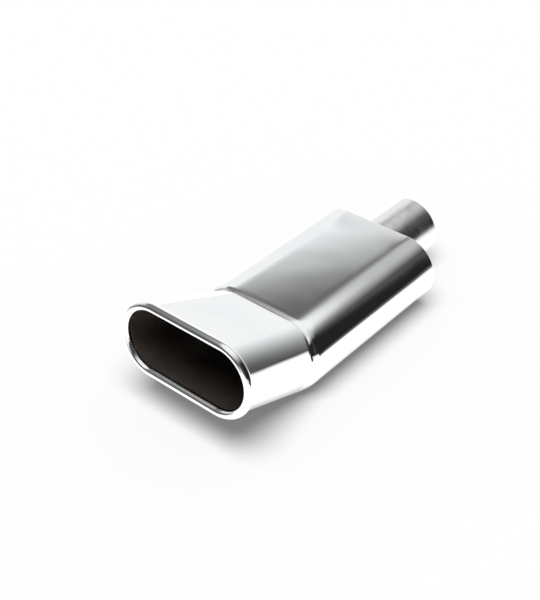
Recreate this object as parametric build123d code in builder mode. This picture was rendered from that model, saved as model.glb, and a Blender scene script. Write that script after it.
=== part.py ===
"""Flat-oval exhaust tip with a raised, rolled-lip mouth and a round inlet pipe.

The tip lies on the flat underside of its body. X is the width, +Y points out of the
inlet, and +Z is up. The origin is the centre of the inlet pipe's open end, and the body
is centred on the pipe's axis. The body is a straight flat-oval tube along Y. At its
front a second flat-oval tube is welded on, square to its own axis, and rises to the mouth.
"""
import os
from math import cos, radians, sin, sqrt, tan

from build123d import *

# Sheet and tube stock
SHEET = 1.2                 # body and mouth tube
INLET_DIAMETER = 50.8       # outside of the inlet pipe, a two inch tube
INLET_WALL = 1.5

# Body: a flat oval with fully round ends, just high enough to take the pipe
BODY_WIDTH = 118.0
PIPE_MARGIN = 3.1           # from the pipe to the body's outer face, above and below
BODY_HEIGHT = INLET_DIAMETER + 2 * PIPE_MARGIN
BODY_LENGTH = 157.0         # on the axis, from the rear plate's face to the joint plane

# Joint between the body and the rising mouth tube
RISE_ANGLE = 21.4           # how steeply the mouth tube rises, in degrees
SHOULDER_LENGTH = 4.0       # along the mouth tube's axis, from the flank to the crease
STEP_SIDE = 3.8             # how far the body stands out beyond the collar at each side
STEP_TOP = 1.4              # and above it; below, the shoulder fades out into a plain bend
COLLAR_LENGTH = 2.8         # from the crease to the weld seam
SEAM_DEPTH = 0.35           # of the small groove left along the weld seam
SHOULDER_COUNT = 6          # of the narrow flats that stand for the shoulder's curve
SHOULDER_COUNT_INSIDE = 2   # and for the hidden curve inside the sheet

# Mouth
MOUTH_LENGTH = 81.3         # on the tube's axis, from the joint plane to the lip's nose
MOUTH_LEAN = 7.5            # how far the mouth's face leans back from upright, in degrees
LIP_WIDTH = 124.0           # over the rolled lip
LIP_HEIGHT = 60.4
LIP_RADIUS = 3.4            # of the rolled edge's round section
LIP_STAND_SIDE = 3.5        # how far the lip stands out beyond the tube at each side
LIP_STAND_TOP = 0.6         # and above and below it
CURL_GAP_START = 202.5      # where the curled sheet ends, in degrees round the section
CURL_GAP_ANGLE = 22.5
CURL_COUNT = 15             # of the flats that stand for the curl's round section
CURL_COUNT_INSIDE = 6       # and for its hollow, which nothing shows

# Rear plate and inlet pipe
PLATE_SHEET = 2.0           # rear plate
PLATE_CLEARANCE = 0.1       # between the plate's edge and the body
PLATE_BEVEL = 1.0           # taken off the plate's outer edge for the rim weld
PIPE_CLEARANCE = 0.1        # between the pipe and the hole in the plate
INLET_REACH = 54.0          # how far the pipe stands out behind the plate
INLET_INSIDE = 12.0         # how far it passes inside the plate's face
PIPE_CHAMFER = 0.4          # on the outer edge of its open end

# Welds
PIPE_WELD_LEG = 1.6         # of the fillet weld between the pipe and the plate
WELD_CROWN = 0.25           # how far a weld bulges beyond its straight line

# Frames. A slanted plane has X across, its own Y up its slope and its normal to the front.
PLATE_FACE_Y = -INLET_REACH
JOINT_Y = PLATE_FACE_Y - BODY_LENGTH


def slanted_plane(origin, lean):
    """A plane across the tip that faces the front, its top leaning back by lean degrees."""
    return Plane(origin, x_dir=(1, 0, 0), z_dir=(0, -cos(radians(lean)), sin(radians(lean))))


joint_plane = slanted_plane((0, JOINT_Y, 0), RISE_ANGLE)
rise = radians(RISE_ANGLE)
plate_plane = Plane((0, PLATE_FACE_Y, 0), x_dir=(1, 0, 0), z_dir=(0, -1, 0))

# The collar's outline, in the joint plane's own coordinates
COLLAR_WIDTH = BODY_WIDTH - 2 * STEP_SIDE
COLLAR_TOP = BODY_HEIGHT / 2 / cos(rise) - STEP_TOP
COLLAR_BOTTOM = -BODY_HEIGHT / 2 / cos(rise)
COLLAR_CENTRE = (COLLAR_TOP + COLLAR_BOTTOM) / 2
COLLAR_END_REACH = (COLLAR_TOP - COLLAR_BOTTOM) / 2

mouth_centre = joint_plane.from_local_coords((0, COLLAR_CENTRE, MOUTH_LENGTH))
mouth_plane = slanted_plane(mouth_centre, MOUTH_LEAN)
lip_plane = mouth_plane.offset(-LIP_RADIUS)     # through the centre of the rolled section

# The mouth tube's frame, from the middle of the weld seam towards the middle of the lip
seam_plane = joint_plane.offset(COLLAR_LENGTH)
seam_centre = seam_plane.from_local_coords((0, COLLAR_CENTRE, 0))
tube_axis = lip_plane.origin - seam_centre
tube_plane = Plane(seam_centre, x_dir=(1, 0, 0), z_dir=tube_axis)
TUBE_SPAN = tube_axis.length
TUBE_RADIUS_REAR = COLLAR_END_REACH
TUBE_RADIUS_FRONT = (LIP_HEIGHT / 2 - LIP_STAND_TOP) * cos(radians(RISE_ANGLE - MOUTH_LEAN))
TUBE_SPREAD_REAR = COLLAR_WIDTH / 2 - TUBE_RADIUS_REAR
TUBE_SPREAD_FRONT = LIP_WIDTH / 2 - LIP_STAND_SIDE - TUBE_RADIUS_FRONT


def flat_oval(plane, half_width, top, bottom, end_reach):
    """A flat oval face in plane, whose rounded ends each reach end_reach past the flats."""
    half_flat = half_width - end_reach
    middle = (top + bottom) / 2
    half_height = (top - bottom) / 2
    with BuildSketch(plane) as outline:
        with BuildLine():
            Line((-half_flat, bottom), (half_flat, bottom))
            EllipticalCenterArc((half_flat, middle), end_reach, half_height, -90, arc_size=180)
            Line((half_flat, top), (-half_flat, top))
            EllipticalCenterArc((-half_flat, middle), end_reach, half_height, 90, arc_size=180)
        make_face()
    return outline.sketch


def oval_path(plane, half_width, half_height):
    """A closed flat-oval path that starts and ends at the middle of its top."""
    half_flat = half_width - half_height
    with BuildLine(plane) as path:
        Line((0, half_height), (half_flat, half_height))
        CenterArc((half_flat, 0), half_height, 90, -180)
        Line((half_flat, -half_height), (-half_flat, -half_height))
        CenterArc((-half_flat, 0), half_height, 270, -180)
        Line((-half_flat, half_height), (0, half_height))
    return path.line


def blend(start, end, share):
    return start + (end - start) * share


def points_round(radius, start, turn, flats):
    """Points round the middle of the curl, with a flat between each and the next."""
    return [
        Vector(radius, 0).rotate(Axis.Z, start + turn * flat / flats)
        for flat in range(flats + 1)
    ]


def underside(inset, behind):
    """Height of the bent underside in the slanted plane that lies behind the joint plane.

    Further back than the collar is long, it is the body's level underside, which climbs
    in these planes. From there to the weld seam a parabola turns it into the mouth
    tube's underside. The sheet's thickness is measured square to the surface.
    """
    into_bend = min(max(0, behind + COLLAR_LENGTH), 2 * COLLAR_LENGTH)
    slope = tan(rise) * into_bend / (2 * COLLAR_LENGTH)
    climb = slope * into_bend / 2 + tan(rise) * max(0, behind - COLLAR_LENGTH)
    return COLLAR_BOTTOM + climb + inset * sqrt(1 + slope**2)


def shoulder_section(inset, angle):
    """Section of the shoulder, from the body's flank at 0 degrees to the crease at 90.

    The step down to the collar follows a quarter of an ellipse at the sides and the top.
    inset is the distance in from the outer surface, so the sheet's inside has this form too.
    """
    behind = inset + (SHOULDER_LENGTH - inset) * (1 - sin(radians(angle)))
    share = 1 - cos(radians(angle))
    body_top = behind * tan(rise) + (BODY_HEIGHT / 2 - inset) / cos(rise)
    return flat_oval(
        joint_plane.offset(-behind),
        blend(BODY_WIDTH, COLLAR_WIDTH, share) / 2 - inset,
        blend(body_top, COLLAR_TOP - inset, share),
        underside(inset, behind),
        blend(BODY_HEIGHT / 2, COLLAR_END_REACH, share) - inset,
    )


def collar_section(inset, behind):
    """Section of the collar, and of the mouth tube's rear end at the seam."""
    return flat_oval(
        joint_plane.offset(-behind),
        COLLAR_WIDTH / 2 - inset,
        COLLAR_TOP - inset,
        underside(inset, behind),
        COLLAR_END_REACH - inset,
    )


def body_form(inset, bevel, flats):
    """Solid form of the body with its shoulder and collar, at inset inside the surface.

    bevel is how much is taken off the collar's edge at the weld seam, and flats is how
    many narrow strips follow the shoulder's curve.
    """
    collar_end = COLLAR_LENGTH - bevel
    with BuildPart() as form:
        with BuildSketch(plate_plane):
            SlotOverall(BODY_WIDTH - 2 * inset, BODY_HEIGHT - 2 * inset)
        extrude(amount=BODY_LENGTH + BODY_HEIGHT)
        split(bisect_by=joint_plane.offset(-SHOULDER_LENGTH), keep=Keep.BOTTOM)
        for flat in range(flats + 1):
            add(shoulder_section(inset, 90 * flat / flats))
        loft(ruled=True)
        for behind in (inset, -collar_end):
            add(collar_section(inset, behind))
        loft(ruled=True)
        if bevel:
            add(collar_section(inset, -collar_end))
            add(collar_section(inset + bevel, -COLLAR_LENGTH))
            loft(ruled=True)
    return form.part


def mouth_tube_form(inset):
    """Solid form of the mouth tube, from the weld seam to the middle of the rolled lip.

    Half a cone at each side narrows a little and leans out a little towards the mouth.
    A tapered slab between them meets both along their uppermost and lowest lines.
    """
    side_step = TUBE_SPREAD_FRONT - TUBE_SPREAD_REAR
    radius_step = TUBE_RADIUS_FRONT - TUBE_RADIUS_REAR
    overrun = TUBE_RADIUS_REAR / TUBE_SPAN      # past each end, as a share of the span
    ends = (-overrun, 1 + overrun)
    spreads = [TUBE_SPREAD_REAR + side_step * share for share in ends]
    radii = [TUBE_RADIUS_REAR + radius_step * share - inset for share in ends]
    with BuildPart() as slab:
        for share, spread, radius in zip(ends, spreads, radii):
            with BuildSketch(tube_plane.offset(TUBE_SPAN * share)):
                Rectangle(2 * spread, 2 * radius)
        loft(ruled=True)
    form = slab.part
    for side in (-1, 1):
        rear, front = [
            tube_plane.from_local_coords((side * spread, 0, TUBE_SPAN * share))
            for share, spread in zip(ends, spreads)
        ]
        outwards = side * tube_plane.y_dir.cross(front - rear)
        with BuildPart() as half_cone:
            with Locations(Plane(rear, x_dir=outwards, z_dir=front - rear)):
                Cone(*radii, (front - rear).length, align=(Align.CENTER, Align.CENTER, Align.MIN))
            split(bisect_by=Plane(rear, z_dir=outwards), keep=Keep.TOP)
        form += half_cone.part
    return form.split(seam_plane, Keep.TOP).split(lip_plane, Keep.BOTTOM)


# Outer shell: the body tube, drawn in at its front to a rounded shoulder and a collar
shell_outside = body_form(0, SEAM_DEPTH, SHOULDER_COUNT)
shell_inside = body_form(SHEET, 0, SHOULDER_COUNT_INSIDE)
with BuildPart() as outer_shell:
    add(shell_outside)
    add(shell_inside, mode=Mode.SUBTRACT)
outer_shell.part.label = "outer_shell"

# Mouth tube: one sheet that rises from the collar and is rolled inwards at the lip
tube_outside = mouth_tube_form(0)
tube_inside = mouth_tube_form(SHEET)
lip_path = oval_path(lip_plane, LIP_WIDTH / 2 - LIP_RADIUS, LIP_HEIGHT / 2 - LIP_RADIUS)
curl_plane = Plane(lip_path @ 0, x_dir=lip_plane.y_dir, z_dir=(1, 0, 0))
curl_start = CURL_GAP_START + CURL_GAP_ANGLE
curl_turn = 360 - CURL_GAP_ANGLE
curl_outside = points_round(LIP_RADIUS, curl_start, curl_turn, CURL_COUNT)
curl_hollow = points_round(LIP_RADIUS - SHEET, curl_start, curl_turn, CURL_COUNT_INSIDE)

with BuildPart() as lip_bulk:
    with BuildSketch(curl_plane):
        with BuildLine():
            Polyline(*curl_outside, close=True)
        make_face()
    sweep(path=lip_path)

with BuildPart() as mouth_tube:
    add(tube_outside)
    # Next to the weld seam the tube is dressed down by the seam's depth
    split(bisect_by=seam_plane.offset(SEAM_DEPTH), keep=Keep.TOP)
    add(mouth_tube_form(SEAM_DEPTH))
    add(tube_inside, mode=Mode.SUBTRACT)
    add(lip_bulk.part, mode=Mode.SUBTRACT)
    # The curl is an open ring of sheet: its end stops short inside, behind the nose
    with BuildSketch(curl_plane):
        with BuildLine():
            Polyline(*curl_outside, *reversed(curl_hollow), close=True)
        make_face()
    sweep(path=lip_path)
mouth_tube.part.label = "mouth_tube"

# Rear plate: a flat plate let into the body's end, with a round hole for the pipe
plate_inset = SHEET + PLATE_CLEARANCE
with BuildPart() as rear_plate:
    with BuildSketch(plate_plane):
        SlotOverall(BODY_WIDTH - 2 * plate_inset, BODY_HEIGHT - 2 * plate_inset)
        Circle(INLET_DIAMETER / 2 + PIPE_CLEARANCE, mode=Mode.SUBTRACT)
    extrude(amount=PLATE_SHEET)
    chamfer(rear_plate.faces().sort_by(Axis.Y)[-1].outer_wire().edges(), PLATE_BEVEL)
rear_plate.part.label = "rear_plate"

# Inlet pipe: a plain round tube through the plate's hole
with BuildPart() as inlet_pipe:
    with BuildSketch(Plane.XZ):
        Circle(INLET_DIAMETER / 2)
        Circle(INLET_DIAMETER / 2 - INLET_WALL, mode=Mode.SUBTRACT)
    extrude(amount=INLET_REACH + INLET_INSIDE)
    chamfer(inlet_pipe.faces().sort_by(Axis.Y)[-1].outer_wire().edges(), PIPE_CHAMFER)
inlet_pipe.part.label = "inlet_pipe"

# Rim weld: fills the groove between the body's end and the plate's bevelled edge
rim_path = oval_path(plate_plane, BODY_WIDTH / 2 - SHEET, BODY_HEIGHT / 2 - SHEET)
rim_plane = Plane(rim_path @ 0, x_dir=(0, 0, 1), z_dir=(1, 0, 0))
with BuildPart() as rim_weld:
    with BuildSketch(rim_plane):
        with BuildLine():
            on_plate = (-PLATE_CLEARANCE - PLATE_BEVEL, 0)
            crown = (on_plate[0] / 2, -WELD_CROWN)
            root = (-PLATE_CLEARANCE, PLATE_BEVEL)
            Polyline((0, 0), crown, on_plate, root, (0, PLATE_BEVEL), close=True)
        make_face()
    sweep(path=rim_path)
rim_weld.part.label = "rim_weld"

# Pipe weld: a bulging fillet round the pipe, which runs into the rim weld above and below
with BuildPart() as pipe_weld:
    with BuildSketch(Plane.YZ):
        with BuildLine():
            root = (PLATE_FACE_Y, INLET_DIAMETER / 2)
            on_pipe = (PLATE_FACE_Y + PIPE_WELD_LEG, INLET_DIAMETER / 2)
            on_plate = (PLATE_FACE_Y, INLET_DIAMETER / 2 + PIPE_WELD_LEG)
            bulge = PIPE_WELD_LEG / 2 + WELD_CROWN / sqrt(2)
            crown = (PLATE_FACE_Y + bulge, INLET_DIAMETER / 2 + bulge)
            Polyline(root, on_pipe, crown, on_plate, close=True)
        make_face()
    revolve(axis=Axis.Y)
    add(rim_weld.part, mode=Mode.SUBTRACT)
pipe_weld.part.label = "pipe_weld"

os.makedirs("parts", exist_ok=True)
for piece in (outer_shell, mouth_tube, rear_plate, inlet_pipe, rim_weld, pipe_weld):
    export_step(piece.part, f"parts/{piece.part.label}.step")
    box = piece.part.bounding_box()
    print(piece.part.label, round(piece.part.volume, 1), piece.part.is_valid, box)
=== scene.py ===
# %% [markdown]
# # A polished exhaust tip with a rolled, flat-oval mouth
#
# The object is a short piece of sheet-metal work. A level flat-oval body takes a round
# inlet pipe at its back. In front, a second flat-oval tube is welded on at a slant and
# rises to a wide mouth, whose edge is rolled inwards into a round lip.
#
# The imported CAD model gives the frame: places, sizes and what each piece is called.
# This notebook builds finer skins over it, gives each a finish, and lights the scene.

import math

import bpy
import numpy as np
from mathutils import Matrix, Vector


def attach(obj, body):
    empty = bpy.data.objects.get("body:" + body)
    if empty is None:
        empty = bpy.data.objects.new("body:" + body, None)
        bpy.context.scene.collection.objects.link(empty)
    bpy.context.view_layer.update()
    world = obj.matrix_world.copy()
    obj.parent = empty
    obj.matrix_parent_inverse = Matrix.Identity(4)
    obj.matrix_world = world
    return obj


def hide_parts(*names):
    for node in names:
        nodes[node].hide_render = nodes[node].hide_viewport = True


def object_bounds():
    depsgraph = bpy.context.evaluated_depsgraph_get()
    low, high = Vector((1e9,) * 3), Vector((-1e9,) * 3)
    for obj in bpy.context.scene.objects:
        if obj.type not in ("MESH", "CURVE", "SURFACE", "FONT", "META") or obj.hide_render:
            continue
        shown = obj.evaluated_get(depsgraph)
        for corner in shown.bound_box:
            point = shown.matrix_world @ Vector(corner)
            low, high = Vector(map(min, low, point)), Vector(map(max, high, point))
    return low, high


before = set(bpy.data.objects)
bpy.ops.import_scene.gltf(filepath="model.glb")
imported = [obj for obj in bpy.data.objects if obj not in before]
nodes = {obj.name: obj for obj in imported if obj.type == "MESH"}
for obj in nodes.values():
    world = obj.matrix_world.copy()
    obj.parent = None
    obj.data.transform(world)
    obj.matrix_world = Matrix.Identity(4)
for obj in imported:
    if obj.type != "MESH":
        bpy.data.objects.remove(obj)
cad_low, cad_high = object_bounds()
print("CAD nodes:", ", ".join(sorted(nodes)))
print("CAD box in mm:", [round(1000 * v, 1) for v in (*cad_low, *cad_high)])

# %% [markdown]
# ## The camera
#
# A photograph of a metal object hides its distance: the same outline fits a near wide
# lens and a far long one. Here the place was solved from the outlines of the mouth, the
# joint and the inlet together, so parallel edges narrow in the render as in the picture.
# The camera is set by a matrix whose columns are its right, up and backward directions.

# %% Camera
MM = 0.001
camera_data = bpy.data.cameras.new("camera")
camera_data.sensor_width = 36.0
camera_data.lens = 63.66
camera = bpy.data.objects.new("camera", camera_data)
bpy.context.scene.collection.objects.link(camera)
camera_azimuth, camera_elevation = math.radians(40.08), math.radians(36.75)
backward = np.array(
    [
        math.sin(camera_azimuth) * math.cos(camera_elevation),
        -math.cos(camera_azimuth) * math.cos(camera_elevation),
        math.sin(camera_elevation),
    ]
)
rightward = np.array([math.cos(camera_azimuth), math.sin(camera_azimuth), 0.0])
upward = np.cross(backward, rightward)
camera_place = np.array([410.2, -679.1, 503.4]) * MM
pose = np.eye(4)
pose[:3, 0], pose[:3, 1], pose[:3, 2], pose[:3, 3] = rightward, upward, backward, camera_place
camera.matrix_world = Matrix(pose.tolist())
bpy.context.scene.camera = camera
print("camera at", np.round(camera_place, 3), "m with a", camera_data.lens, "mm lens")

# %% [markdown]
# ## One way round a flat oval
#
# Every section of this object is a flat oval: two straight runs and two rounded ends.
# One number s from 0 to 4 goes once round it, a quarter for each run or end. It becomes
# three plain shares, so any section, wide or narrow, is the same three numbers stretched
# by its own sizes. That keeps the columns of points in line from one section to the next.

# %% Sizes and the turn round a flat oval
# In mm, as in the CAD model.
SHEET = 1.2
BODY_WIDTH, BODY_HEIGHT, BODY_LENGTH = 118.0, 57.0, 157.0
PLATE_FACE_Y = -54.0
JOINT_Y = PLATE_FACE_Y - BODY_LENGTH
RISE = math.radians(21.4)
SHOULDER_LENGTH, COLLAR_LENGTH = 4.0, 2.8
STEP_SIDE, STEP_TOP = 3.8, 1.4
COLLAR_WIDTH = BODY_WIDTH - 2 * STEP_SIDE
COLLAR_TOP = BODY_HEIGHT / 2 / math.cos(RISE) - STEP_TOP
COLLAR_BOTTOM = -BODY_HEIGHT / 2 / math.cos(RISE)
COLLAR_CENTRE = (COLLAR_TOP + COLLAR_BOTTOM) / 2
COLLAR_REACH = (COLLAR_TOP - COLLAR_BOTTOM) / 2
SEAM_DEPTH, SEAM_DEPTH_BELOW = 0.28, 0.04    # of the groove along the weld seam
EDGE = 0.05    # to the extra row beside an edge, which keeps it crisp in smooth shading

FLAT_STEPS, END_STEPS = 20, 88    # columns of points on each run and on each end


def lerp(start, end, share):
    """start + (end - start) * share, for arrays too."""
    return start + (end - start) * share


def smooth(start, end, value):
    """0 before start, 1 after end, and t^2 * (3 - 2t) between them."""
    t = np.clip((value - start) / (end - start), 0, 1)
    return t**2 * (3 - 2 * t)


def oval_turn(s):
    """Shares (a, b, c) of a flat oval at turn s: x = a*flat + b*reach, height = c*half.

    On the runs a goes from -1 to 1 and back, b = 0 and c = +1 or -1. On the ends a stays
    at +1 or -1 while b and c are the cosine and sine of the angle, from 90 to -90 degrees
    on the right and back up on the left.
    """
    s = np.mod(s, 4.0)
    angle = np.where(s < 2, np.pi / 2 - (s - 1) * np.pi, -np.pi / 2 + (s - 3) * np.pi)
    top, right, bottom = s < 1, (s >= 1) & (s < 2), (s >= 2) & (s < 3)
    a = np.select([top, right, bottom], [2 * s - 1, 1.0, 5 - 2 * s], -1.0)
    b = np.select([top, right, bottom], [0.0, np.cos(angle), 0.0], -np.cos(angle))
    c = np.select([top, right, bottom], [1.0, np.sin(angle), -1.0], np.sin(angle))
    return a, b, c


CROWN = math.radians(1.0)    # how far the flat sheet bends from its middle to its end
BLEND_RUN = 6.0    # before and after a run's end, over which it turns into the round end
flat_run, end_radius = (BODY_WIDTH - BODY_HEIGHT) / 2, BODY_HEIGHT / 2
quarter = flat_run + end_radius * np.pi / 2
walk = np.linspace(0, quarter, 2000)
bulge = CROWN * np.minimum(walk / flat_run, 1)
turning = np.cumsum(smooth(flat_run - BLEND_RUN, flat_run + BLEND_RUN, walk))
turned = bulge + (np.pi / 2 - CROWN) * turning / turning[-1]
step = walk[1]
crown_x = np.concatenate([[0], np.cumsum(np.cos((turned[1:] + turned[:-1]) / 2)) * step])
crown_z = np.concatenate([[0], np.cumsum(np.sin((turned[1:] + turned[:-1]) / 2)) * step])
crown_x *= (BODY_WIDTH / 2) / crown_x[-1]
crown_z = 1 - crown_z / crown_z[-1]


def crowned_turn(s, amount):
    """Shares as in oval_turn, for rolled sheet whose runs bulge a little (amount 1) or not (0).

    Along a quarter of the section the sheet's angle is a slight even bend on the run and
    then rises smoothly to 90 degrees; its cosine and sine add up to the points. b takes up
    what x differs from the plain oval's run, and c is the height as a share of the half.
    """
    a, b, c = oval_turn(s)
    from_top = np.mod(s - 0.5, 4.0)
    fold = np.abs(np.mod(from_top + 1, 2.0) - 1)
    along = np.where(
        fold < 0.5, fold * 2 * flat_run, flat_run + (fold - 0.5) * np.pi * end_radius
    )
    x = np.interp(along, walk, crown_x) * np.where(from_top < 2, 1, -1)
    z = np.interp(along, walk, crown_z) * np.where((from_top < 1) | (from_top > 3), 1, -1)
    return a, lerp(b, (x - a * flat_run) / end_radius, amount), lerp(c, z, amount)


columns = np.concatenate(
    [
        start + np.arange(steps) / steps
        for start, steps in ((0, FLAT_STEPS), (1, END_STEPS), (2, FLAT_STEPS), (3, END_STEPS))
    ]
)
print(len(columns), "columns of points go round each skin")

# %% [markdown]
# ## Turning rows of points into a skin
#
# A sheet-metal tube is a ring both ways: round its section, and along its profile from
# the outside over the edge to the inside and back. A grid of points that closes both
# ways is therefore a watertight skin with its real thickness, and needs no modifier.
# The signed volume tells whether the faces look outwards, and the grid is turned if not.

# %% Skin helper


def add_skin(name, rows):
    """Mesh of a grid of points, in mm, rows x columns x 3, closed round and along.

    Corner (i, j) joins (i, j+1), (i+1, j+1) and (i+1, j) into one face. The volume is
    the sum over faces of the corner cross products: positive when faces look outwards.
    """
    grid = np.asarray(rows, float)
    count_rows, count_columns = grid.shape[:2]
    i, j = np.meshgrid(np.arange(count_rows), np.arange(count_columns), indexing="ij")
    i, j = i.ravel(), j.ravel()
    i2, j2 = (i + 1) % count_rows, (j + 1) % count_columns
    faces = np.stack([i * count_columns + j, i * count_columns + j2,
                      i2 * count_columns + j2, i2 * count_columns + j], axis=1)
    points = grid.reshape(-1, 3) * MM
    p0, p1, p2, p3 = (points[faces[:, k]] for k in range(4))
    volume = (np.einsum("ij,ij->i", p0, np.cross(p1, p2)).sum()
              + np.einsum("ij,ij->i", p0, np.cross(p2, p3)).sum()) / 6
    if volume < 0:
        faces = faces[:, ::-1]
    mesh = bpy.data.meshes.new(name)
    mesh.from_pydata(points.tolist(), [], faces.tolist())
    mesh.polygons.foreach_set("use_smooth", np.ones(len(faces), bool))
    mesh.update()
    skin = bpy.data.objects.new(name, mesh)
    bpy.context.scene.collection.objects.link(skin)
    print(f"{name}: {len(faces)} faces, {abs(volume) * 1e6:.1f} cm3")
    return skin


def mark_inside(skin, groups):
    """Writes inner_face on each point: groups are (rows, share inside) in the skin's order."""
    shares = np.concatenate([np.full(len(rows), float(share)) for rows, share in groups])
    per_row = len(skin.data.vertices) // len(shares)
    marks = skin.data.attributes.new("inner_face", "FLOAT", "POINT")
    marks.data.foreach_set("value", np.repeat(shares, per_row))


# %% [markdown]
# ## The body, its shoulder and its collar
#
# The real body is a tube that was cut at a slant and drawn in at its front, so a rounded
# shoulder leads down to a narrower collar. In CAD this is a loft. Here each row is one
# slanted section, and the rows follow the profile: a quarter of an ellipse down the
# shoulder, a small fillet in the crease, the collar, the ground edge of the weld seam,
# and then back along the inside of the sheet. The press that made the shoulder worked
# from above, so its step is sharp over the top, and below the upper third of each end it
# eases into a long, even taper that no line marks.

# %% Sections of the body
joint_origin = np.array([0.0, JOINT_Y, 0.0])
slant_up = np.array([0.0, math.sin(RISE), math.cos(RISE)])
slant_front = np.array([0.0, -math.cos(RISE), math.sin(RISE)])


def underside(inset, behind):
    """Height of the underside in slanted sections: level, then a parabola, then the tube."""
    into_bend = np.clip(behind + COLLAR_LENGTH, 0, 2 * COLLAR_LENGTH)
    slope = math.tan(RISE) * into_bend / (2 * COLLAR_LENGTH)
    climb = slope * into_bend / 2 + math.tan(RISE) * np.maximum(0, behind - COLLAR_LENGTH)
    return COLLAR_BOTTOM + climb + inset * np.sqrt(1 + slope**2)


def slanted_row(behind, half_width, top, bottom, reach, crown):
    """One flat-oval section behind the joint plane, as points in mm; sizes may be per column."""
    a, b, c = crowned_turn(columns, crown)
    across = a * (half_width - reach) + b * reach
    height = (top + bottom) / 2 + c * (top - bottom) / 2
    centre = joint_origin - np.broadcast_to(behind, columns.shape)[:, None] * slant_front
    return centre + across[:, None] * np.array([1.0, 0, 0]) + height[:, None] * slant_up


# The shoulder's length over the top, and that of the taper it becomes down the ends.
TOP_RUN, TAPER_RUN = 2.2, 12.0
# Down each end, in degrees from its top: where the CAD model's length is reached, where
# the step eases, and where it lengthens into the taper.
ROUND_TO = 40.0
SOFTEN_FROM, SOFTEN_TO = 36.0, 58.0
LENGTHEN_FROM, LENGTHEN_TO = 61.0, 92.0
# Where the crease's fillet ends, behind the joint plane, above and below.
CREASE_FRONT, CREASE_FRONT_BELOW = -0.5, -2.2
degrees_from_top = 180 * np.clip(np.where(columns < 2.5, columns - 1, 4 - columns), 0, 1)

soften = smooth(SOFTEN_FROM, SOFTEN_TO, degrees_from_top)
shoulder_start = lerp(TOP_RUN, SHOULDER_LENGTH, smooth(0, ROUND_TO, degrees_from_top))
shoulder_start = lerp(
    shoulder_start, TAPER_RUN, smooth(LENGTHEN_FROM, LENGTHEN_TO, degrees_from_top)
)
crease_end = lerp(CREASE_FRONT, CREASE_FRONT_BELOW, soften)
seam_depth = lerp(SEAM_DEPTH, SEAM_DEPTH_BELOW, soften)


def section(inset, behind, share):
    """A section between body (share 0) and collar (share 1), inset into the sheet."""
    body_top = behind * math.tan(RISE) + (BODY_HEIGHT / 2 - inset) / math.cos(RISE)
    return slanted_row(
        behind,
        lerp(BODY_WIDTH, COLLAR_WIDTH, share) / 2 - inset,
        lerp(body_top, COLLAR_TOP - inset, share),
        underside(inset, behind),
        lerp(BODY_HEIGHT / 2, COLLAR_REACH, share) - inset,
        1 - share,
    )


def shoulder_row(inset, behind, share):
    """A section of the shoulder, where each column has its own place along the profile.

    With t from 0 at the shoulder to 1 at the crease, a point lies t of the way from the
    column's start to its end. Down the ends its share softens to t^2 * (3 - 2t).
    """
    t = (SHOULDER_LENGTH - behind) / (SHOULDER_LENGTH - CREASE_FRONT)
    share = lerp(share, smooth(0, 1, t), soften)
    return section(inset, lerp(shoulder_start, crease_end, t), share)


BODY_SHARES = np.linspace(0, 1, 31)[1:]
PLATE_HOLD = 0.2    # share of the body's length over which the plate flattens the bulge


def body_rows(inset, slanted, end_y):
    """Rows along the level body. The bulge dies away where the rear plate holds the sheet."""
    radius = BODY_HEIGHT / 2 - inset
    rows = []
    for share in BODY_SHARES:
        a, b, c = crowned_turn(columns, 1 - smooth(1 - PLATE_HOLD, 1, share))
        y = lerp(slanted[:, 1], end_y, share)
        rows.append(np.stack([a * flat_run + b * radius, y, c * radius], axis=1))
    return rows


# %% Build the body
# The quarter ellipse stops at this angle, and a curve leads on into the collar.
FILLET_ANGLE = math.radians(75)
fillet_start = (SHOULDER_LENGTH * (1 - math.sin(FILLET_ANGLE)), 1 - math.cos(FILLET_ANGLE))
fillet_run = math.cos(FILLET_ANGLE) / math.sin(FILLET_ANGLE)
fillet_corner = (fillet_start[0] - SHOULDER_LENGTH * math.cos(FILLET_ANGLE) * fillet_run, 1.0)
FILLET_END = (CREASE_FRONT, 1.0)

shoulder_outside = [
    (SHOULDER_LENGTH * (1 - math.sin(angle)), 1 - math.cos(angle))
    for angle in np.linspace(0, FILLET_ANGLE, 19)
]
crease = [
    tuple(
        (1 - t) ** 2 * fillet_start[k] + 2 * t * (1 - t) * fillet_corner[k] + t**2 * FILLET_END[k]
        for k in (0, 1)
    )
    for t in np.linspace(0, 1, 8)[1:]
]
outer_front = [shoulder_row(0.0, behind, share) for behind, share in shoulder_outside + crease]
collar = [
    section(0.0, lerp(crease_end, -COLLAR_LENGTH + seam_depth, t), 1.0)
    for t in (0.25, 0.6, 0.9, 1.0)
]
seam_face = [
    section(inset, -COLLAR_LENGTH, 1.0)
    for inset in (seam_depth, seam_depth + EDGE, SHEET - EDGE, SHEET)
]
inner_run = SHOULDER_LENGTH - SHEET
inner_front = (
    [section(SHEET, back - COLLAR_LENGTH, 1.0) for back in (0.1, 0.5)]
    + [shoulder_row(SHEET, behind, 1.0) for behind in (CREASE_FRONT, 0.0)]
    + [
        shoulder_row(SHEET, SHEET + inner_run * (1 - math.sin(angle)), 1 - math.cos(angle))
        for angle in np.linspace(math.pi / 2, 0, 13)
    ]
)
RIM_ROUND = 0.65    # of the rear edge
inner_body = body_rows(SHEET, inner_front[-1], PLATE_FACE_Y - 0.02)
rim = [
    body_rows(inset, outer_front[0], y)[-1]
    for inset, y in (
        (SHEET, PLATE_FACE_Y),
        (SHEET - EDGE, PLATE_FACE_Y),
        (RIM_ROUND, PLATE_FACE_Y),
        (RIM_ROUND / 2, PLATE_FACE_Y - EDGE),
        (EDGE, PLATE_FACE_Y - RIM_ROUND / 2),
        (0.0, PLATE_FACE_Y - RIM_ROUND),
    )
]
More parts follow.
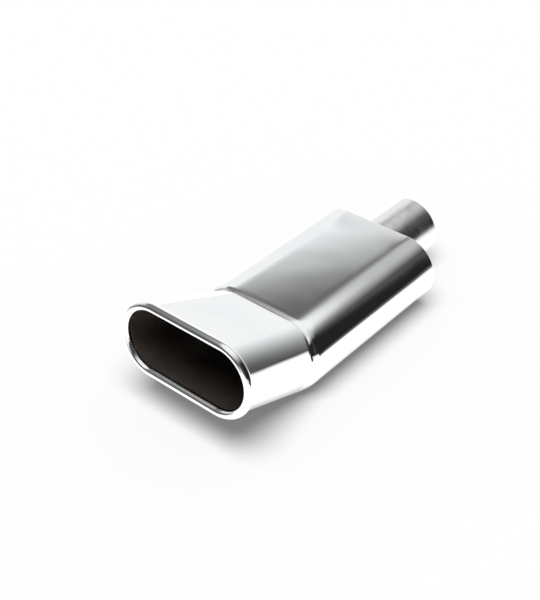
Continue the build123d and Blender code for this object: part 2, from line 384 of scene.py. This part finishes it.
outer_body = body_rows(0.0, outer_front[0], PLATE_FACE_Y - RIM_ROUND - EDGE)[::-1]
body_outside = rim + outer_body + outer_front + collar
body_inside = inner_front + inner_body
body_skin = add_skin("body_skin", body_outside + seam_face + body_inside)
mark_inside(
    body_skin, [(body_outside + seam_face[:2], 0), (seam_face[2:] + body_inside, 1)]
)
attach(body_skin, "root")
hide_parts("outer_shell")

# %% [markdown]
# ## The mouth tube and its rolled lip
#
# The rising tube is two half cones, which lean outwards a little, with flat sheet between
# them. Points on a cone lie on straight lines from the seam to the mouth, so a row is
# found by sliding along those lines. At the front the sheet turns outwards in a small
# fillet and rolls round the lip to an open curl. The lip is a circle carried along the
# mouth's own flat oval, and only its crease with the tube has to be solved.

# %% Sizes of the mouth
MOUTH_LENGTH, MOUTH_LEAN = 81.3, math.radians(7.5)
LIP_WIDTH, LIP_HEIGHT, LIP_RADIUS = 124.0, 60.4, 3.4
LIP_STAND_SIDE, LIP_STAND_TOP = 3.5, 0.6
CURL_END = math.radians(202.5)    # where the curled sheet ends, round the roll

lip_up = np.array([0.0, math.sin(MOUTH_LEAN), math.cos(MOUTH_LEAN)])
lip_front = np.array([0.0, -math.cos(MOUTH_LEAN), math.sin(MOUTH_LEAN)])
seam_centre = joint_origin + COLLAR_CENTRE * slant_up + COLLAR_LENGTH * slant_front
mouth_centre = joint_origin + COLLAR_CENTRE * slant_up + MOUTH_LENGTH * slant_front
lip_centre = mouth_centre - LIP_RADIUS * lip_front
tube_span = np.linalg.norm(lip_centre - seam_centre)
tube_front = (lip_centre - seam_centre) / tube_span
tube_up = np.cross(tube_front, [1.0, 0, 0])
radius_rear = COLLAR_REACH
radius_front = (LIP_HEIGHT / 2 - LIP_STAND_TOP) * math.cos(RISE - MOUTH_LEAN)
spread_rear = COLLAR_WIDTH / 2 - radius_rear
spread_front = LIP_WIDTH / 2 - LIP_STAND_SIDE - radius_front
splay = math.atan2(spread_front - spread_rear, tube_span)


def tube_point(s, share, inset):
    """Point on the tube's skin at turn s and at a share of its span, inset into the sheet.

    At a share t the cones' axes are spread(t) from the middle and their radius is R(t).
    The point is axis + R * (cosine across the axis, sine up), in the tube's own frame.
    """
    a, b, c = oval_turn(s)
    spread = lerp(spread_rear, spread_front, share)
    radius = lerp(radius_rear, radius_front, share) - inset
    across = a * spread + b * radius * math.cos(splay)
    forward = share * tube_span - np.abs(b) * radius * math.sin(splay)
    height = c * radius
    return (seam_centre + across[:, None] * np.array([1.0, 0, 0])
            + height[:, None] * tube_up + forward[:, None] * tube_front)


def share_at_plane(s, inset, origin, normal):
    """Share at which the skin's straight lines meet a plane; its origin may be per column.

    A line runs from rear to front, so share = (origin - rear).normal / (front - rear).normal.
    """
    rear = tube_point(s, np.zeros_like(s), inset)
    front = tube_point(s, np.ones_like(s), inset)
    return (origin - rear) @ normal / ((front - rear) @ normal)


# %% Line the tube's columns up with the lip's
path_radius = LIP_HEIGHT / 2 - LIP_RADIUS
path_flat = LIP_WIDTH / 2 - LIP_RADIUS - path_radius


def lip_frame(s):
    """Centre of the roll's circle and its outward direction, at turn s."""
    a, b, c = oval_turn(s)
    across, height = a * path_flat + b * path_radius, c * path_radius
    centre = lip_centre + across[:, None] * np.array([1.0, 0, 0]) + height[:, None] * lip_up
    outward = b[:, None] * np.array([1.0, 0, 0]) + c[:, None] * lip_up
    return centre, outward


fine = np.linspace(0, 4, 8000, endpoint=False)
fine_shares = share_at_plane(fine, 0.0, lip_centre, lip_front)
fine_points = tube_point(fine, fine_shares, 0.0) - lip_centre
fine_x, fine_z = fine_points[:, 0], fine_points @ lip_up
end_angle = np.arctan2(fine_z, np.abs(fine_x) - path_flat)
lip_turn = np.where(
    np.abs(fine_x) <= path_flat,
    np.where(fine_z > 0, (fine_x / path_flat + 1) / 2, 2 + (1 - fine_x / path_flat) / 2),
    np.where(
        fine_x > 0, 1 + (np.pi / 2 - end_angle) / np.pi, 3 + (end_angle + np.pi / 2) / np.pi
    ),
)
lip_turn = lip_turn + 4 * np.round((fine - lip_turn) / 4)
front_turns = np.interp(columns, lip_turn, fine, period=4)
front_turns = front_turns + 4 * np.round((columns - front_turns) / 4)
print("the tube's columns shift by at most", np.abs(front_turns - columns).max().round(3))

# %% Solve the crease between tube and lip
roll_centre, roll_outward = lip_frame(columns)


def in_lip_plane(point):
    """Outward and forward distance of a point from the roll's centre."""
    away = point - roll_centre
    return (away * roll_outward).sum(1), away @ lip_front


def skin_at(origin):
    """The tube's outer skin where a plane through origin, level with the lip's, cuts it."""
    return tube_point(front_turns, share_at_plane(front_turns, 0.0, origin, lip_front), 0.0)


# At a distance d behind the roll's centre the skin stands out by stand + lean_out * d. It
# meets the roll where (stand + lean_out * d)^2 + d^2 = LIP_RADIUS^2, a square equation in d.
stand = in_lip_plane(skin_at(lip_centre))[0]
stand_behind = in_lip_plane(skin_at(lip_centre - LIP_RADIUS * lip_front))[0]
lean_out = (stand_behind - stand) / LIP_RADIUS
leading, half_linear = 1 + lean_out**2, stand * lean_out
crease_behind = (
    -half_linear + np.sqrt(half_linear**2 - leading * (stand**2 - LIP_RADIUS**2))
) / leading
crease_angle = np.arctan2(-crease_behind, stand + lean_out * crease_behind)
print("the crease sits at", np.degrees(crease_angle).min().round(), "to",
      np.degrees(crease_angle).max().round(), "degrees round the roll")

# %% Rows of the mouth tube
CREASE_ROUND = 0.8    # of the fillet between the tube and the roll
ROLL = LIP_RADIUS - 0.035    # the solid's roll has flats, and the skin stays inside its box


def around_roll(outward, forward):
    """Points at an outward and a forward distance from the roll's centre, per column."""
    return roll_centre + outward[:, None] * roll_outward + forward[:, None] * lip_front


def roll_row(angle, radius):
    """Points on a circle round the roll's centre: outward by cosine, forward by sine."""
    angle = np.broadcast_to(angle, columns.shape)
    return around_roll(radius * np.cos(angle), radius * np.sin(angle))


def tube_row(blend, inset, behind):
    """A row at a blend between the seam (0) and the plane behind the lip (1)."""
    s = lerp(columns, front_turns, blend)
    at_seam = share_at_plane(s, inset, seam_centre, slant_front)
    plane_points = lip_centre - behind[:, None] * lip_front
    at_lip = share_at_plane(s, inset, plane_points, lip_front)
    return tube_point(s, lerp(at_seam, at_lip, blend), inset)


def bezier_rows(start, corner, end, shares):
    """Quadratic curve from start to end that is pulled towards the corner."""
    return [(1 - t) ** 2 * start + 2 * t * (1 - t) * corner + t**2 * end for t in shares]


def seam_row(inset, forward):
    """A row at a distance in front of the seam plane."""
    forward = np.broadcast_to(forward, columns.shape)[:, None]
    share = share_at_plane(columns, inset, seam_centre + forward * slant_front, slant_front)
    return tube_point(columns, share, inset)


outer_end = crease_behind + CREASE_ROUND
outer_tube = [tube_row(blend, 0.0, outer_end) for blend in np.linspace(0, 1, 25)[1:]]
roll_start = crease_angle + CREASE_ROUND / LIP_RADIUS
# The fillet's corner is where the roll's tangent at roll_start meets the tube's skin.
start_cos, start_sin = np.cos(roll_start), np.sin(roll_start)
tangent_run = (stand - lean_out * LIP_RADIUS * start_sin - LIP_RADIUS * start_cos) / (
    start_sin - lean_out * start_cos
)
crease_corner = around_roll(
    LIP_RADIUS * start_cos + tangent_run * start_sin,
    LIP_RADIUS * start_sin - tangent_run * start_cos,
)
crease_rows = bezier_rows(
    outer_tube[-1], crease_corner, roll_row(roll_start, ROLL), np.linspace(0, 1, 8)[1:-1]
)
hollow = LIP_RADIUS - SHEET
# The sheet's cut edge is a little round: both faces stop short of it by about 0.1 mm.
roll_outside = [
    roll_row(lerp(roll_start, CURL_END - 0.03, t), ROLL) for t in np.linspace(0, 1, 53)
]
curl_edge = [roll_row(CURL_END, ROLL - 0.1), roll_row(CURL_END, hollow + 0.1)]
hollow_end = crease_angle + math.radians(8)
roll_inside = [
    roll_row(lerp(CURL_END - 0.04, hollow_end, t), hollow) for t in np.linspace(0, 1, 25)
]
inner_start = crease_behind + SHEET + 0.6
inner_tube = [tube_row(blend, SHEET, inner_start) for blend in np.linspace(1, 0, 13)[:-1]]
inner_stand = in_lip_plane(inner_tube[0])[0]
inner_depth = crease_behind - SHEET * np.sin(-crease_angle)
inner_corner = around_roll(inner_stand, -inner_depth)
inner_bend = bezier_rows(
    roll_inside[-1], inner_corner, inner_tube[0], np.linspace(0, 1, 8)[1:-1]
)
tube_seam = [
    seam_row(SHEET, EDGE),
    seam_row(SHEET - EDGE, 0.0),
    seam_row(seam_depth + EDGE, 0.0),
    seam_row(seam_depth, 0.02),
    seam_row(0.0, seam_depth),
    seam_row(0.0, seam_depth + 0.1),
]
tube_outside = outer_tube + crease_rows + roll_outside
tube_inside = curl_edge + roll_inside + inner_bend + inner_tube
mouth_skin = add_skin("mouth_skin", tube_seam + tube_outside + tube_inside)
mark_inside(
    mouth_skin, [(tube_seam[:2], 1), (tube_seam[2:] + tube_outside, 0), (tube_inside, 1)]
)
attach(mouth_skin, "root")
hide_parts("mouth_tube")

# %% [markdown]
# ## The inlet pipe
#
# A turned shape: one closed profile of radius and length, carried round the axis.
# The open end is deburred, so both its edges are a little round.

# %% Build the pipe
PIPE_RADIUS, PIPE_BORE, PIPE_INSIDE_Y = 25.4, 23.9, -66.0
PIPE_ROUND, BORE_ROUND = 0.4, 0.25    # of the open end's outer and inner edge


def turned_rows(profile, steps=192):
    """Rows of a turned shape: x = r*cos, z = r*sin round the y axis."""
    angles = np.linspace(0, 2 * np.pi, steps, endpoint=False)
    return [
        np.stack([r * np.cos(angles), np.full(steps, y), r * np.sin(angles)], axis=1)
        for r, y in profile
    ]


bend = np.linspace(0, np.pi / 2, 6)
pipe_outside = (
    [(PIPE_RADIUS, y) for y in np.linspace(PIPE_INSIDE_Y, -PIPE_ROUND - EDGE, 14)]
    + [
        (PIPE_RADIUS - PIPE_ROUND * (1 - math.cos(t)), -PIPE_ROUND * (1 - math.sin(t)))
        for t in bend
    ]
    + [
        (PIPE_BORE + BORE_ROUND * (1 - math.sin(t)), -BORE_ROUND * (1 - math.cos(t)))
        for t in bend
    ]
)
pipe_inside = [(PIPE_BORE, y) for y in np.linspace(-BORE_ROUND - EDGE, PIPE_INSIDE_Y, 10)]
pipe_skin = add_skin("pipe_skin", turned_rows(pipe_outside + pipe_inside))
mark_inside(pipe_skin, [(pipe_outside, 0), (pipe_inside, 1)])
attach(pipe_skin, "root")
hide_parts("inlet_pipe")

# %% [markdown]
# ## The weld beads
#
# A hand-laid bead is a row of overlapping puddles. Its section is a low arch, and along
# the run its height rises and falls a little once per puddle, each ripple leaning back.
# Both beads are a section carried along a path, with the ripple added to its height.

# %% Bead helper
RIPPLE_PITCH, RIPPLE_BOW = 1.5, 0.7    # from one puddle to the next, and its bend, in mm


def ripple(distance, across):
    """Height share of the bead: a leaning wave along the run, curved back at its sides.

    phase = 2*pi*(distance + bow*across^2)/pitch, height = (1 + sin(phase + sin(phase)/2))/2,
    with across from -1 to 1 over the bead.
    """
    phase = 2 * np.pi * (distance + RIPPLE_BOW * across**2) / RIPPLE_PITCH
    return 0.5 + 0.5 * np.sin(phase + 0.5 * np.sin(phase))


# %% Weld round the pipe
PIPE_WELD_LEG = 1.55
PIPE_WELD_CROWN, PIPE_WELD_RIPPLE = 0.1, 0.12    # heights of the arch and of its ripples
WELD_SUNK = 0.05    # how far the bead's hidden back lies in the metal
weld_angles = np.linspace(0, 2 * np.pi, 640, endpoint=False)


def pipe_weld_row(radius, y):
    """One row of points round the pipe, at a radius and a place along the axis."""
    y = np.broadcast_to(y, weld_angles.shape)
    return np.stack([radius * np.cos(weld_angles), y, radius * np.sin(weld_angles)], axis=1)


pipe_weld_rows = []
for t in np.linspace(0, 1, 11):
    ripples = PIPE_WELD_RIPPLE * ripple(PIPE_RADIUS * weld_angles, 2 * t - 1)
    lift = math.sin(math.pi * t) * (PIPE_WELD_CROWN + ripples)
    pipe_weld_rows.append(
        pipe_weld_row(
            PIPE_RADIUS + PIPE_WELD_LEG * t + lift, PLATE_FACE_Y + PIPE_WELD_LEG * (1 - t) + lift
        )
    )
for radius in (PIPE_RADIUS + PIPE_WELD_LEG, PIPE_RADIUS - WELD_SUNK):
    pipe_weld_rows.append(pipe_weld_row(radius, PLATE_FACE_Y - WELD_SUNK))
pipe_bead = add_skin("pipe_bead", pipe_weld_rows)
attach(pipe_bead, "root")
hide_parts("pipe_weld")

# %% Weld round the rim
RIM_WELD_HALF = 0.55    # of the bead's width
RIM_WELD_CROWN, RIM_WELD_RIPPLE = 0.1, 0.14
# The bead's hidden back fills the plate's bevel: places from its middle and from the face.
RIM_WELD_BACK = ((-0.5, -0.12), (0.5, -1.0))
bead_centre = BODY_HEIGHT / 2 - SHEET - RIM_WELD_HALF
arc_length = math.pi * bead_centre
corner_runs = np.cumsum([0, 2 * flat_run, arc_length, 2 * flat_run, arc_length])
run = np.linspace(0, corner_runs[-1], 800, endpoint=False)
bead_a, bead_b, bead_c = oval_turn(np.interp(run, corner_runs, [0, 1, 2, 3, 4]))


def rim_weld_row(radius, y):
    """One row of points round the rim, at a radius of its ends and a place along the axis."""
    y = np.broadcast_to(y, run.shape)
    return np.stack([bead_a * flat_run + bead_b * radius, y, bead_c * radius], axis=1)


rim_weld_rows = []
for t in np.linspace(0, 1, 11):
    lift = math.sin(math.pi * t) * (RIM_WELD_CROWN + RIM_WELD_RIPPLE * ripple(run, 2 * t - 1))
    rim_weld_rows.append(
        rim_weld_row(bead_centre + RIM_WELD_HALF * (1 - 2 * t), PLATE_FACE_Y + lift)
    )
for aside, behind_face in RIM_WELD_BACK:
    rim_weld_rows.append(rim_weld_row(bead_centre + aside, PLATE_FACE_Y + behind_face))
rim_bead = add_skin("rim_bead", rim_weld_rows)
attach(rim_bead, "root")
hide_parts("rim_weld")

# %% [markdown]
# ## Finishes
#
# Polished steel is almost all reflection, so a finish here is mostly a roughness and a
# shape of the surface too small to model: the haze that a polishing mop leaves, hairlines
# from handling, and the slow waviness of rolled sheet. Each is a noise pattern at its own
# scale on the object's coordinates, in metres, that drives roughness, colour or bump. The
# inside of a tube is never polished, so the skins carry a number, inner_face, that turns
# the same material into dull, scaled metal there. Its dark colour there is partly painted
# shade, standing in for the little light that reaches inside.

# %% Material helpers


def new_finish(name, roughness=0.3, metallic=1.0):
    """A material with one Principled shader; returns the material, its tree and shader."""
    finish = bpy.data.materials.new(name)
    finish.use_nodes = True
    shader = finish.node_tree.nodes["Principled BSDF"]
    shader.inputs["Metallic"].default_value = metallic
    shader.inputs["Roughness"].default_value = roughness
    return finish, finish.node_tree, shader


def add_node(tree, kind, values=None, **settings):
    """A node with its settings, and its sockets set from numbers or linked from sockets."""
    node = tree.nodes.new(kind)
    for key, value in settings.items():
        setattr(node, key, value)
    for key, value in (values or {}).items():
        if isinstance(value, bpy.types.NodeSocket):
            tree.links.new(value, node.inputs[key])
        else:
            node.inputs[key].default_value = value
    return node


def noise(tree, scale, stretch=(1, 1, 1), detail=3.0):
    """Noise from 0 to 1 with about scale cells to the metre, stretched along an axis."""
    place = add_node(tree, "ShaderNodeTexCoord").outputs["Object"]
    mapped = add_node(tree, "ShaderNodeMapping", {"Vector": place, "Scale": stretch})
    cloud = add_node(
        tree, "ShaderNodeTexNoise",
        {"Vector": mapped.outputs["Vector"], "Scale": scale, "Detail": detail, "Roughness": 0.6},
    )
    return cloud.outputs[0]


def calc(tree, operation, first, second=0.0):
    """One sum on numbers or sockets, such as ADD or MULTIPLY."""
    return add_node(tree, "ShaderNodeMath", {0: first, 1: second}, operation=operation).outputs[0]


def spread(tree, value, low, high, new_low, new_high):
    """Value from low..high carried onto new_low..new_high, smoothly at both ends."""
    mapped = add_node(
        tree, "ShaderNodeMapRange",
        {"Value": value, "From Min": low, "From Max": high,
         "To Min": new_low, "To Max": new_high},
        interpolation_type="SMOOTHSTEP",
    )
    return mapped.outputs["Result"]


def blend(tree, share, first, second, kind="FLOAT"):
    """first where share is 0 and second where it is 1, for numbers or colours."""
    mix = tree.nodes.new("ShaderNodeMix")
    mix.data_type = kind
    offset = {"FLOAT": 2, "RGBA": 6}[kind]
    for index, value in ((0, share), (offset, first), (offset + 1, second)):
        if isinstance(value, bpy.types.NodeSocket):
            tree.links.new(value, mix.inputs[index])
        else:
            mix.inputs[index].default_value = value
    return mix.outputs[{"FLOAT": 0, "RGBA": 2}[kind]]


def bump(tree, height, distance, base=None):
    """Bump whose full height is distance in metres, on top of another bump if given."""
    values = {"Height": height, "Distance": distance, "Strength": 1.0}
    if base is not None:
        values["Normal"] = base
    return add_node(tree, "ShaderNodeBump", values).outputs["Normal"]


def inner_share(tree):
    """The skin's own number: 0 on its polished outside, 1 on the walls inside."""
    return add_node(tree, "ShaderNodeAttribute", attribute_name="inner_face").outputs["Fac"]


# %% Mirror-polished sheet
mirror, tree, shader = new_finish("mirror_polished_sheet")
inner = inner_share(tree)
haze = spread(tree, noise(tree, 45), 0.35, 0.7, 0.035, 0.07)
hairline = noise(tree, 260, (1, 0.06, 1), 4.0)
scale_patches = noise(tree, 120, (1, 0.5, 1), 5.0)
polished_colour = blend(
    tree, spread(tree, noise(tree, 18), 0.3, 0.7, 0, 1),
    (0.845, 0.87, 0.885, 1), (0.895, 0.905, 0.91, 1), "RGBA",
)
# Inside colour: dull scale in random patches, made dark as painted shade for the little light
# inside the tube
scale_and_painted_shade_colour = blend(
    tree, scale_patches, (0.10, 0.08, 0.066, 1), (0.21, 0.18, 0.155, 1), "RGBA"
)
tree.links.new(
    blend(tree, inner, polished_colour, scale_and_painted_shade_colour, "RGBA"), shader.inputs["Base Color"]
)
rough_inside = spread(tree, scale_patches, 0.3, 0.7, 0.42, 0.62)
# Less metal inside keeps the inner walls dark: part of the painted shade
tree.links.new(blend(tree, inner, 1.0, 0.55), shader.inputs["Metallic"])
handled = spread(tree, hairline, 0.55, 0.8, 0.0, 0.03)
polish = calc(tree, "ADD", haze, handled)
tree.links.new(blend(tree, inner, polish, rough_inside), shader.inputs["Roughness"])
# Rolled sheet waves by a tenth of a millimetre, and hairlines are a thousandth deep.
waviness = bump(tree, noise(tree, 22, detail=1.0), 0.00012)
tree.links.new(bump(tree, hairline, 0.000001, waviness), shader.inputs["Normal"])
print("mirror finish: haze, hairlines, slow waviness, and scale on the inside")

# %% Pipe stock
pipe_metal, tree, shader = new_finish("buffed_pipe")
inner = inner_share(tree)
drawn = noise(tree, 500, (1, 0.08, 1), 3.0)
mottle = noise(tree, 70, detail=4.0)
pipe_colour = blend(tree, mottle, (0.74, 0.75, 0.76, 1), (0.88, 0.88, 0.87, 1), "RGBA")
# The bore is dull metal, and its dark colour is partly painted shade for the little light inside
# the pipe
tree.links.new(
    blend(tree, inner, pipe_colour, (0.13, 0.12, 0.115, 1), "RGBA"), shader.inputs["Base Color"]
)
buffing = spread(tree, mottle, 0.3, 0.7, 0.15, 0.28)
tree.links.new(blend(tree, inner, buffing, 0.5), shader.inputs["Roughness"])
tree.links.new(bump(tree, drawn, 0.000003, bump(tree, mottle, 0.00014)), shader.inputs["Normal"])

# %% Rear plate stock
plate_metal, tree, shader = new_finish("brushed_plate")
brushing = noise(tree, 900, (0.03, 1, 1), 4.0)
rolled = noise(tree, 60, detail=3.0)
tree.links.new(
    blend(tree, rolled, (0.60, 0.60, 0.60, 1), (0.72, 0.72, 0.71, 1), "RGBA"),
    shader.inputs["Base Color"],
)
tree.links.new(spread(tree, brushing, 0.3, 0.7, 0.26, 0.42), shader.inputs["Roughness"])
tree.links.new(bump(tree, brushing, 0.000008), shader.inputs["Normal"])

# %% Weld metal
# The heat leaves tints from grey over straw to blue: a place on the noise and its colour.
weld_metal, tree, shader = new_finish("weld_bead")
tint = add_node(tree, "ShaderNodeValToRGB", {"Fac": noise(tree, 55, detail=2.0)})
for element, (place, colour) in zip(
    (tint.color_ramp.elements[0], tint.color_ramp.elements[1], tint.color_ramp.elements.new(0.5)),
    ((0.3, (0.62, 0.60, 0.57, 1)), (0.75, (0.50, 0.51, 0.58, 1)), (0.52, (0.66, 0.60, 0.50, 1))),
):
    element.position, element.color = place, colour
tree.links.new(tint.outputs["Color"], shader.inputs["Base Color"])
tree.links.new(spread(tree, noise(tree, 600), 0.3, 0.7, 0.22, 0.4), shader.inputs["Roughness"])
tree.links.new(bump(tree, noise(tree, 900), 0.00002), shader.inputs["Normal"])

# %% Give each piece its finish
for piece, finish in (
    (body_skin, mirror), (mouth_skin, mirror), (pipe_skin, pipe_metal),
    (pipe_bead, weld_metal), (rim_bead, weld_metal), (nodes["rear_plate"], plate_metal),
):
    piece.data.materials.clear()
    piece.data.materials.append(finish)
    print(piece.name, "is", finish.name)

# %% [markdown]
# ## Floor and lamp
#
# The picture was taken on a white ground and its background is pure white. The floor is a
# plain pale surface that takes a soft shadow from one broad lamp, high up and a little
# towards the camera. For the camera and for reflections some glow is added, so that the
# open floor reaches white while the shadow stays. Away from the object the white ground
# ends, and the metal shows that as a darker horizon on every side but the bright ones, so
# reflections fade there. A mirror also throws light that the floor has scattered back into
# the shadow. Such rays meet a dark ground and a dim world, or the shadow would be lost.

# %% Floor
FLOOR_Z = -BODY_HEIGHT / 2 * MM
FLOOR_REACH = 8.0
floor_corners = [
    (FLOOR_REACH * x, FLOOR_REACH * y, FLOOR_Z) for x, y in ((-1, -1), (1, -1), (1, 1), (-1, 1))
]
floor_mesh = bpy.data.meshes.new("floor")
floor_mesh.from_pydata(floor_corners, [], [(0, 1, 2, 3)])
floor = bpy.data.objects.new("floor", floor_mesh)
bpy.context.scene.collection.objects.link(floor)


def level_length(tree, x, y):
    """Length of (x, y)."""
    return calc(tree, "SQRT", calc(tree, "ADD", calc(tree, "MULTIPLY", x, x),
                                   calc(tree, "MULTIPLY", y, y)))


def facing(tree, x, y, azimuth):
    """Cosine of the level angle between (x, y) and an azimuth, in degrees from +Y to +X."""
    turn = math.radians(azimuth)
    along = calc(tree, "ADD", calc(tree, "MULTIPLY", x, math.sin(turn)),
                 calc(tree, "MULTIPLY", y, math.cos(turn)))
    return calc(tree, "DIVIDE", along, level_length(tree, x, y))


# Azimuths of the studio's areas, and the cosines between which each fades in.
WALL_AZIMUTH, WALL_EDGES = -52.0, (0.08, 1.07)
CARD_AZIMUTH, CARD_EDGES = 140.0, (0.70, 0.80)
CLOTH_AZIMUTH, CLOTH_EDGES = 82.0, (0.682, 0.799)
CAMERA_GLOW, REFLECTED_GLOW = 0.12, 0.5
GROUND_EDGES, GROUND_BEYOND = (0.16, 0.62), (0.1, 0.1, 0.1, 1)    # in metres, and a colour
ground, tree, shader = new_finish("white_ground", roughness=1.0, metallic=0.0)
shader.inputs["Base Color"].default_value = (0.9, 0.9, 0.9, 1)
shader.inputs["Specular IOR Level"].default_value = 0.0
shader.inputs["Emission Color"].default_value = (1, 1, 1, 1)
rays = add_node(tree, "ShaderNodeLightPath").outputs
scattered = calc(tree, "MULTIPLY", rays["Is Glossy Ray"],
                 calc(tree, "GREATER_THAN", rays["Diffuse Depth"], 0.5))
glow = calc(tree, "ADD", calc(tree, "MULTIPLY", rays["Is Camera Ray"], CAMERA_GLOW),
            calc(tree, "MULTIPLY", rays["Is Glossy Ray"], REFLECTED_GLOW))
tree.links.new(glow, shader.inputs["Emission Strength"])
place = add_node(tree, "ShaderNodeTexCoord").outputs["Object"]
axes = add_node(tree, "ShaderNodeSeparateXYZ", {"Vector": place}).outputs
x, y = axes["X"], calc(tree, "SUBTRACT", axes["Y"], (cad_low[1] + cad_high[1]) / 2)
dark_sides = calc(
    tree, "MULTIPLY", spread(tree, facing(tree, x, y, WALL_AZIMUTH), *WALL_EDGES, 1.0, 0.0),
    spread(tree, facing(tree, x, y, CARD_AZIMUTH), *CARD_EDGES, 1.0, 0.0),
)
away = spread(tree, level_length(tree, x, y), *GROUND_EDGES, 0.0, 1.0)
dark_horizon = calc(
    tree, "MULTIPLY", calc(tree, "MULTIPLY", away, dark_sides), rays["Is Glossy Ray"]
)
beyond_ground = add_node(tree, "ShaderNodeEmission", {"Color": GROUND_BEYOND})
ground_mix = add_node(
    tree, "ShaderNodeMixShader",
    {0: calc(tree, "MAXIMUM", dark_horizon, scattered),
     1: shader.outputs[0], 2: beyond_ground.outputs[0]},
)
tree.links.new(ground_mix.outputs[0], tree.nodes["Material Output"].inputs["Surface"])
floor_mesh.materials.append(ground)

# %% Lamp
lamp_data = bpy.data.lights.new("broad_lamp", "SUN")
lamp_data.energy = 2.5
lamp_data.angle = math.radians(44)
lamp = bpy.data.objects.new("broad_lamp", lamp_data)
bpy.context.scene.collection.objects.link(lamp)
lamp_from = Vector((0.1, -0.22, 1.0))
lamp.matrix_world = lamp_from.to_track_quat("Z", "Y").to_matrix().to_4x4()
lamp.visible_glossy = False

# %% [markdown]
# ## Studio
#
# A mirror has no look of its own: it shows the room. Photographers give polished metal a
# few large bright and dark areas, so its curves read. Here they are written into the
# world by direction, from how the picture's reflections run: a bright wall behind on the
# left with a dark gap over it, a soft box overhead, black cloth on the right, a low white
# card in front and a dim room elsewhere. A direction's x/z and y/z are where it meets a
# ceiling one metre up, so the soft box is nearly a rectangle in them. The camera itself
# sees plain white.

# %% World
# The soft box on its ceiling, in metres: where its left, right and front sides fade in and
# out, and the share of light that is left beyond its left side. Its back ends in two
# steps, each with its share. In front of the middle both sides lean to the left, and
# beyond BOX_LEAN_BACK the right one does.
BOX_LEFT, BOX_RIGHT, BOX_FRONT = (-0.74, -0.27), (0.0, 0.89), (-3.0, -1.0)
BOX_LEFT_OVER = 0.13
BOX_BACK, BOX_BACK_SHARES = ((0.75, 0.94), (1.46, 2.03)), (0.53, 0.47)
BOX_LEAN, BOX_LEAN_BACK = 0.2, 0.8
# Sines of the heights over which the wall and the card end, and how bright each area is.
WALL_TOP, WALL_LEVEL = (0.482, 0.624), 1.12
CARD_TOP, CARD_LEVEL = (0.14, 0.26), 0.9
ROOM_LEVEL, CLOTH_LEVEL = 0.088, 0.018
EVEN_LEVEL = 0.2    # of the world for all but the rays that the metal mirrors

world = bpy.data.worlds.new("studio")
bpy.context.scene.world = world
world.use_nodes = True
tree = world.node_tree
direction = add_node(tree, "ShaderNodeTexCoord").outputs["Generated"]
axes = add_node(tree, "ShaderNodeSeparateXYZ", {"Vector": direction}).outputs
x, y, z = axes["X"], axes["Y"], axes["Z"]
above = calc(tree, "MAXIMUM", z, 0.02)    # kept from zero, as a direction can be level
ceiling_x, ceiling_y = calc(tree, "DIVIDE", x, above), calc(tree, "DIVIDE", y, above)

behind_box = calc(tree, "MAXIMUM", calc(tree, "SUBTRACT", ceiling_y, BOX_LEAN_BACK), 0.0)
before_middle = calc(tree, "MINIMUM", ceiling_y, 0.0)
from_left = calc(tree, "SUBTRACT", ceiling_x, calc(tree, "MULTIPLY", before_middle, BOX_LEAN))
from_right = calc(tree, "ADD", from_left, calc(tree, "MULTIPLY", behind_box, BOX_LEAN))
box_across = calc(
    tree, "MULTIPLY", spread(tree, from_left, *BOX_LEFT, BOX_LEFT_OVER, 1),
    spread(tree, from_right, *BOX_RIGHT, 1, 0),
)
box_back = calc(
    tree, "ADD", spread(tree, ceiling_y, *BOX_BACK[0], BOX_BACK_SHARES[0], 0),
    spread(tree, ceiling_y, *BOX_BACK[1], BOX_BACK_SHARES[1], 0),
)
box_along = calc(tree, "MULTIPLY", box_back, spread(tree, ceiling_y, *BOX_FRONT, 0, 1))
soft_box = calc(tree, "MULTIPLY", box_across, box_along)

wall = calc(
    tree, "MULTIPLY", spread(tree, facing(tree, x, y, WALL_AZIMUTH), *WALL_EDGES, 0, 1),
    spread(tree, z, *WALL_TOP, WALL_LEVEL, 0),
)
card = calc(
    tree, "MULTIPLY", spread(tree, facing(tree, x, y, CARD_AZIMUTH), *CARD_EDGES, 0, 1),
    spread(tree, z, *CARD_TOP, CARD_LEVEL, 0),
)
room = spread(
    tree, facing(tree, x, y, CLOTH_AZIMUTH), *CLOTH_EDGES, ROOM_LEVEL, CLOTH_LEVEL
)
studio_light = calc(tree, "ADD", calc(tree, "ADD", soft_box, wall), calc(tree, "ADD", card, room))
studio_light = calc(tree, "MINIMUM", studio_light, 1.0)

rays = add_node(tree, "ShaderNodeLightPath").outputs
mirrored = calc(tree, "MULTIPLY", rays["Is Glossy Ray"],
                calc(tree, "LESS_THAN", rays["Diffuse Depth"], 0.5))
lit = blend(tree, mirrored, EVEN_LEVEL, studio_light)
seen = blend(tree, rays["Is Camera Ray"], lit, 1.0)
background = tree.nodes["Background"]
background.inputs["Color"].default_value = (1, 1, 1, 1)
tree.links.new(seen, background.inputs["Strength"])

# %% Close
bpy.context.scene.view_settings.view_transform = "Standard"
